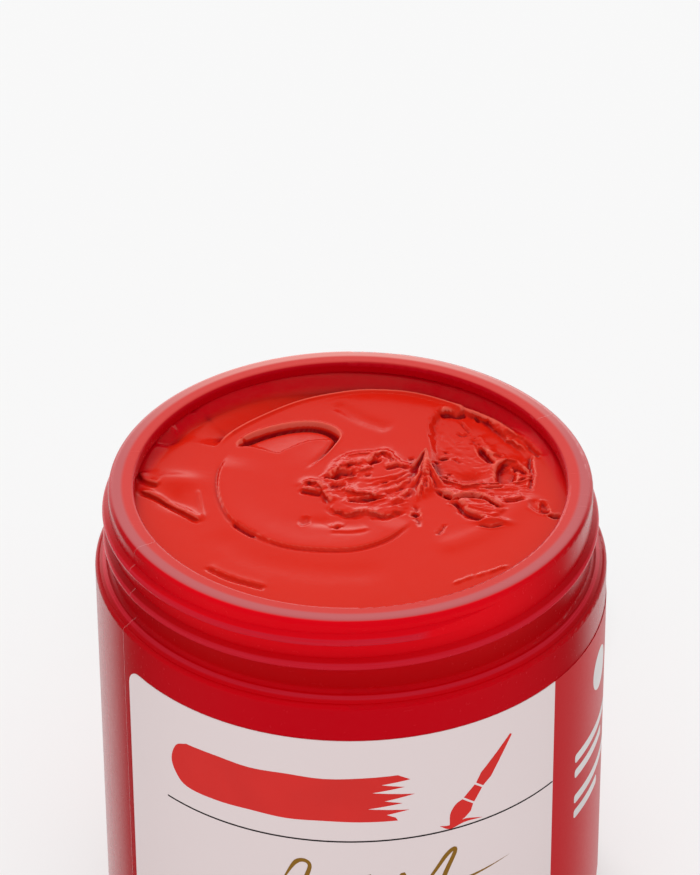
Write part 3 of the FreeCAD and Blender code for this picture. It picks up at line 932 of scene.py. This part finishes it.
for strand in ([(1.8, 4.5), (5.4, 4.9), (8.7, 6.3), (10.8, 8.6)],
               [(4.3, 2.5), (7.6, 4.0), (9.5, 5.4), (11.0, 7.6)],
               [(4.8, 0.3), (8.0, 1.7), (9.6, 3.5), (10.8, 6.0)],
               [(8.0, -3.2), (9.6, -0.8), (10.6, 2.4)],
               [(6.3, -3.6), (8.7, -1.4), (10.3, 1.6)],
               [(3.0, 3.4), (6.3, 4.4), (9.2, 6.0)]):
    ridge(strand, 0.34, 0.3, 0.3, 0.2, ragged=0.2)
    crack([(x + 0.1, y - 0.9) for x, y in strand], 0.25, 0.35)
for x, y in ((11.0, 12.2), (6.1, 3.6), (3.1, 6.2)):
    pocket(x, y, 0.7, 0.35, 20, 0.5)
print("torn lump done")

# %% The stiff peak
PEAK_TIP = (13.9, 11.2)
PEAK_HEIGHT = 3.4
PEAK_FEET = [(10.5, 8.4), (10.6, 1.7), (11.5, -3.2), (12.4, -1.4), (13.3, -2.2), (14.2, -1.4), (15.2, -0.8),
             (16.3, 1.2), (17.6, 0.8)]
flutes = np.zeros(X.shape)
for foot_x, foot_y in PEAK_FEET:
    bend = (PEAK_TIP[0] - 0.3 + (foot_x - PEAK_TIP[0]) * 0.3, (PEAK_TIP[1] + foot_y) / 2 + 0.4)
    distance, along = beside([PEAK_TIP, bend, (foot_x, foot_y)], 0.25)
    rise = PEAK_HEIGHT * (1 - along) ** 1.15 + 0.5
    crest = np.exp(-((np.abs(distance) / (0.35 + 0.3 * along)) ** 1.3))
    flutes = np.maximum(flutes, rise * crest * fade_ends(along, 0.04, 0.3))
HEIGHT += flutes
crack([(11.3, -2.6), (11.7, -5.2), (11.9, -8.0), (12.1, -10.4)], 0.5, 0.5)
pocket(11.5, -6.2, 0.7, 0.7, 0, 1.0)
pocket(13.3, 3.4, 0.5, 1.9, 4, 0.8)
print("peak done, highest point", round(HEIGHT.max(), 2), "mm from the rim")

# %% The ragged scoop on the right
PATCH = [(16.8, 28.9), (15.2, 26.3), (14.6, 22.7), (15.2, 15.4), (14.8, 8.6), (18.8, 4.6), (23.4, 4.4),
         (28.9, 4.6), (32.3, 7.3), (32.3, 14.6), (28.9, 19.9), (25.3, 25.9), (21.1, 28.9)]
patch = inside(PATCH, 1.8)
HEIGHT -= 0.9 * patch
torn(patch * smooth(X + Y, 46.0, 38.0), 0.16, 2.4, 3.0, -60, 9.1)
fold([(16.5, 29.2), (18.6, 29.0), (19.6, 28.6), (21.1, 29.0)], 0.5, 0.9, 0.4)
fold([(21.1, 28.7), (23.1, 27.8), (25.3, 25.9), (27.0, 23.1), (28.9, 19.9), (30.8, 17.5), (32.1, 15.4)],
     0.6, 0.2, 0.4)
ridge([(16.7, 28.7), (15.2, 26.3), (14.6, 22.7), (15.5, 20.3)], 0.25, 0.5, ragged=0.4)
fold([(28.3, 22.4), (31.5, 19.0), (33.5, 15.8), (35.0, 12.4)], 0.5, 0.8, 0.2)
for line in ([(19.6, 22.4), (20.5, 21.2), (21.8, 21.9)],
             [(20.0, 26.3), (20.9, 24.2), (22.0, 21.9)],
             [(22.4, 21.3), (23.8, 18.9), (24.5, 16.8)],
             [(23.3, 27.4), (23.5, 25.6)],
             [(18.6, 13.6), (20.2, 11.9)]):
    crack(line, 0.5, 0.3)
fold([(22.6, 20.9), (24.0, 18.4), (25.3, 15.2), (26.6, 12.6)], 0.6, 0.5, 0.3)
fold([(24.8, 18.0), (25.9, 14.8), (27.0, 13.0)], 0.5, 0.3, 0.3)
pocket(24.6, 14.4, 0.9, 3.2, 24, 0.9)
pocket(26.7, 14.0, 0.9, 0.8, 0, 0.7)
fold([(26.3, 4.9), (26.0, 7.8), (26.3, 11.0), (28.1, 13.1), (30.0, 12.5), (31.2, 10.1), (32.5, 7.3)],
     0.8, 0.2, 0.3)
pocket(27.8, 8.4, 1.9, 3.2, 0, 1.4)
pocket(30.7, 9.4, 0.5, 2.2, 36, 0.8)
fold([(29.0, 5.4), (30.8, 7.0), (32.6, 7.0)], 0.6, 0.3, 0.3)
fold([(29.0, 3.9), (30.9, 5.2), (32.6, 6.2)], 0.5, 0.3, 0.3)
crack([(32.5, 15.0), (32.3, 10.8), (32.5, 6.6), (32.0, 0.8)], 0.7, 0.4)
for x, y, wide, deep, depth in ((16.9, 13.5, 0.8, 0.5, 1.1), (15.6, 12.1, 0.35, 0.4, 0.8),
                                (17.3, 15.7, 0.3, 0.4, 0.6), (16.7, 6.9, 0.8, 0.5, 1.0),
                                (17.8, 8.4, 0.4, 0.4, 0.7), (18.8, 5.8, 0.5, 0.6, 0.7)):
    pocket(x, y, wide, deep, 15, depth)
dent(21.6, 7.0, 2.4, 1.5, 0, -0.7)
print("ragged scoop done")

# %% The shelf and the torn flap below it
SHELF_EDGE = [(15.2, 2.1), (16.9, 0.9), (18.4, -0.1), (20.2, 0.6), (21.8, 0.8), (23.4, -0.1), (24.9, -1.1),
              (26.2, -2.9), (27.6, -4.0)]
SHELF = [(15.7, 4.6), (23.1, 3.2), (31.5, 4.0), (31.5, -0.6), (25.0, -0.8), (17.2, 1.2)]
FLAP = [(19.3, -1.2), (23.9, -1.8), (26.2, -4.0), (27.4, -5.2), (24.1, -8.3), (22.4, -6.7), (20.5, -5.0)]
flap = inside(FLAP, 0.8)
HEIGHT += 0.5 * flap
torn(flap, 0.25, 0.8, 4.0, -20, 5.3)
torn(inside(SHELF, 1.2), 0.25, 1.0, 4.0, -4, 6.6)
fold([(14.6, 7.3), (16.7, 5.6), (18.8, 4.2), (20.9, 3.2), (23.4, 4.2), (26.4, 4.6), (28.9, 4.5)],
     0.8, 0.2, 0.4)
fold(SHELF_EDGE, 0.9, 0.8, 0.35)
pocket(17.4, 0.0, 0.9, 0.6, -30, 2.2)
pocket(21.6, -0.2, 1.9, 0.45, 4, 2.4)
pocket(25.3, 2.7, 1.7, 0.5, 10, 0.9)
fold([(27.0, -1.0), (29.4, -0.9), (30.9, -0.4)], 0.5, 0.7, 0.3)
fold([(19.3, -1.5), (20.5, -5.0), (22.4, -6.7), (24.1, -8.3)], 0.5, 0.8, 0.3)
crack([(17.5, -1.8), (19.3, -3.2), (20.4, -5.2)], 0.7, 0.5)
dent(24.8, -8.9, 2.6, 0.8, -4, 0.9)
crack([(22.2, -9.9), (24.8, -10.6), (27.4, -9.8)], 0.7, 0.3)
print("shelf and flap done")

# %% The small marks
pocket(-8.2, -8.2, 0.9, 1.5, -20, 0.35)
dent(-4.6, -8.4, 4.0, 1.5, -8, -0.3)
fold([(-3.6, -10.2), (-2.5, -9.3), (-1.5, -9.9)], 0.5, 0.5, 0.2)
fold([(-4.0, -11.4), (0.7, -11.6), (3.2, -10.6)], 0.3, 0.1, 0.2)
crack([(15.2, -13.0), (16.6, -9.2)], 0.5, 0.3)
crack([(33.2, -1.4), (32.6, -4.0), (35.4, -6.2)], 0.4, 0.6)
pocket(34.4, -4.4, 0.8, 1.8, 10, 0.8)
pocket(36.3, -7.2, 1.4, 0.7, -20, 1.0)
fold([(-25.2, -21.8), (-20.6, -25.4), (-14.2, -28.6)], 0.3, 0.5, 0.1)
for x, y in ((18.6, -27.4), (20.4, -26.2), (22.6, -25.2), (24.6, -24.2), (26.2, -23.2)):
    dent(x, y, 0.9, 0.3, 32, 0.4)
ridge([(14.0, -18.0), (22.0, -13.0), (28.0, -7.0), (33.0, 1.0)], 0.3, 2.4)
ridge([(-24.0, -10.0), (-18.0, -19.0), (-6.0, -24.0), (8.0, -24.0)], -0.25, 3.0)
print("small marks done")

# %% The paint's own mesh
SOFTEN = 1


def soften(values, rounds):
    for _ in range(rounds):
        padded = np.pad(values, 1, mode="edge")
        beside_x, beside_y = padded[:-2, 1:-1] + padded[2:, 1:-1], padded[1:-1, :-2] + padded[1:-1, 2:]
        values = (4 * values + beside_x + beside_y) / 8
    return values


def edge_ring(cells):
    """Grid places of the round edge, in order."""
    last = cells
    ring = [(i, 0) for i in range(last)] + [(last, j) for j in range(last)]
    return ring + [(i, last) for i in range(last, 0, -1)] + [(0, j) for j in range(last, 0, -1)]


def paint_mesh():
    """The sculpted top, closed below by the jar's inner shape, kept just clear of the wall."""
    size = GRID_CELLS + 1
    free = smooth(PAINT_NECK_R - FROM_AXIS, 0.0, 1.5)
    high = np.minimum(soften(HEIGHT, SOFTEN), -0.4)
    place_x, place_y = X + SHIFT_X * free, Y + SHIFT_Y * free
    points = np.stack([place_x, place_y, RIM_Z + high], -1).reshape(-1, 3)
    index = np.arange(size * size).reshape(size, size)
    cells = np.stack([index[:-1, :-1], index[1:, :-1], index[1:, 1:], index[:-1, 1:]], -1)
    faces = cells.reshape(-1, 4).tolist()
    ring = [index[i, j] for i, j in edge_ring(GRID_CELLS)]
    directions = np.array([(X.flat[k], Y.flat[k]) for k in ring]) / PAINT_NECK_R
    shoulder = RIM_Z - SHOULDER_DEPTH
    levels = [(PAINT_NECK_R, shoulder), (PAINT_BODY_R - 0.6, shoulder - 0.4),
              (PAINT_BODY_R, shoulder - 1.2), (PAINT_BODY_R, PAINT_LOW + 4.0),
              (PAINT_BODY_R - 1.2, PAINT_LOW + 1.2), (PAINT_BODY_R - 4.0, PAINT_LOW)]
    all_points, above = [points], ring
    count = len(points)
    for radius, z in levels:
        loop = np.column_stack([directions * radius, np.full(len(ring), z)])
        below = list(range(count, count + len(ring)))
        next_above, next_below = above[1:] + above[:1], below[1:] + below[:1]
        faces += [[a, b, d, c] for a, b, c, d in zip(above, below, next_above, next_below)]
        all_points.append(loop)
        above, count = below, count + len(ring)
    all_points.append(np.array([[0.0, 0.0, PAINT_LOW]]))
    faces += [[a, count, b] for a, b in zip(above, above[1:] + above[:1])]
    mesh = bpy.data.meshes.new("thick_paint")
    mesh.from_pydata((np.concatenate(all_points) * MM).tolist(), [], faces)
    for title, rounds in (("Fine relief", 6), ("Broad relief", 60)):
        relief = np.zeros(len(mesh.vertices))
        relief[: X.size] = (high - soften(high, rounds)).ravel()
        mesh.attributes.new(title, "FLOAT", "POINT").data.foreach_set("value", relief)
    bm = bmesh.new()
    bm.from_mesh(mesh)
    bmesh.ops.recalc_face_normals(bm, faces=bm.faces)
    bm.to_mesh(mesh)
    bm.free()
    mesh.shade_smooth()
    return mesh


paint = new_object("thick_paint", paint_mesh())
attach(paint, "jar")
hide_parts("paint")
print(paint.name, len(paint.data.polygons), "faces")

# %% [markdown]
# ## The paint's finish
# Wet acrylic is one strong red with a tight gloss. Light goes a little way into it and shade falls into its
# hollows, so thin crests look paler and pockets deeper than their shape alone would make them. Here that is
# painted into the colour: painted shade in pockets and hollows, and a painted highlight on thin crests. Near
# the wall, the light that comes through the red plastic is painted in as a deeper crimson. Light scattered
# inside the paint could show that, but slowly and with grain. The mesh already knows how far each point lies
# above or below its surroundings, near and wide, so those two measures choose the colour.

# %% Paint finish
PAINT_RED = (0.70, 0.015, 0.005)
PAINT_RED_DARKER = (0.64, 0.011, 0.004)
PAINT_BY_WALL_PAINTED_RED_LIGHT = (0.66, 0.000, 0.008)
HOLLOW_PAINTED_SHADE = (0.32, 0.000, 0.004)
CREST_PAINTED_HIGHLIGHT = (0.82, 0.110, 0.075)
WARM_GLOSS = (1.0, 0.82, 0.60)


def wet_paint():
    material, tree, shader = new_material("wet_paint")
    point = object_point(tree)
    at = place(tree, "Round the jar")
    cloud = noise_node(tree, point, 55.0, 3.0, 0.5, 0.6)
    streak = noise_node(tree, point, 420.0, 4.0, 0.6, 1.2)
    colour = mix_colours(tree, times(tree, cloud, 0.5), PAINT_RED, PAINT_RED_DARKER)
    # painted shade: darker where the relief dips below its surroundings, in pockets and hollows
    for title, low, high, red in (("Broad relief", -0.08, -0.6, HOLLOW_PAINTED_SHADE),
                                  ("Fine relief", -0.04, -0.22, HOLLOW_PAINTED_SHADE),
                                  # painted highlight: paler where fine crests rise above their surroundings
                                  ("Fine relief", 0.04, 0.20, CREST_PAINTED_HIGHLIGHT)):
        relief = add_node(tree, "ShaderNodeAttribute", attribute_name=title).outputs["Fac"]
        colour = mix_colours(tree, spread(tree, relief, low, high, 0.0, 0.9), colour, red)
    # painted light: near the wall at the sides and back the paint is tinted a deeper crimson, as light comes
    # through the red plastic
    by_wall = times(tree, spread(tree, at["Radius"], 36.2, 37.8),
                        spread(tree, math_node(tree, "ABSOLUTE", at["Angle"]), 70.0, 120.0))
    set_inputs(tree, shader, Base_Color=mix_colours(tree, by_wall, colour, PAINT_BY_WALL_PAINTED_RED_LIGHT),
               Roughness=spread(tree, streak, 0.3, 0.7, 0.12, 0.20),
               Normal=bump(tree, add_up(tree, cloud, (streak, 0.25)), 0.12, 0.0006),
               Specular_IOR_Level=0.45, Specular_Tint=WARM_GLOSS)
    return material


paint.data.materials.append(wet_paint())
print("finished:", paint.name)

# %% [markdown]
# ## The lid
# The lid is moulded in white, with grip ribs and a foam liner. It has been set down upside down, so its liner
# and thread show, and the liner carries a print of the rim in dried paint. The ribs and thread are CAD shape,
# so only the finishes are made here. The print could be a flat ring of its own, but dried paint has no clean
# edge, so it is a band in the foam's material whose radius wanders with noise.

# %% Lid plastic and liner foam
LID_WHITE = (0.80, 0.795, 0.785)
LID_WHITE_DARKER = (0.72, 0.71, 0.70)
LID_SCUFF = (0.60, 0.58, 0.56)
FOAM = (0.83, 0.81, 0.77)
DRIED_PAINT = (0.60, 0.03, 0.02)


def lid_plastic():
    material, tree, shader = new_material("lid_plastic")
    skin = place(tree, "Plastic skin", Grain_Scale=1300.0, Ripple_Scale=70.0)
    colour = mix_colours(tree, times(tree, skin["Ripple"], 0.4), LID_WHITE, LID_WHITE_DARKER)
    colour = mix_colours(tree, times(tree, skin["Scuffs"], 0.35), colour, LID_SCUFF)
    set_inputs(tree, shader, Base_Color=colour, Roughness=add_up(tree, 0.36, (skin["Grain"], 0.2)),
               Normal=bump(tree, skin["Grain"], 0.15, 0.0002))
    return material


def liner_foam():
    material, tree, shader = new_material("liner_foam")
    point = object_point(tree)
    x, y, _ = split(tree, point)
    radius = math_node(tree, "DIVIDE", length(tree, x, math_node(tree, "SUBTRACT", y, LID_Y * MM)), MM)
    wander = math_node(tree, "SUBTRACT", noise_node(tree, point, 130.0, 4.0, 0.6, 0.8), 0.5)
    ring = band(tree, add_up(tree, radius, (wander, 3.0)), MOUTH_R + 0.3, NECK_R - 0.9, 0.8)
    worn = spread(tree, noise_node(tree, point, 210.0, 5.0, 0.65), 0.42, 0.58)
    stain = times(tree, ring, worn)
    cells = set_inputs(tree, add_node(tree, "ShaderNodeTexVoronoi"), Vector=point, Scale=2600.0)["Distance"]
    set_inputs(tree, shader, Base_Color=mix_colours(tree, stain, FOAM, DRIED_PAINT),
               Roughness=spread(tree, stain, 0.0, 1.0, 0.7, 0.3),
               Normal=bump(tree, add_up(tree, stain, (cells, 0.4)), 0.5, 0.0001))
    return material


finish("lid_shell", lid_plastic())
finish("lid_liner", liner_foam())
print("finished: lid_shell, lid_liner")
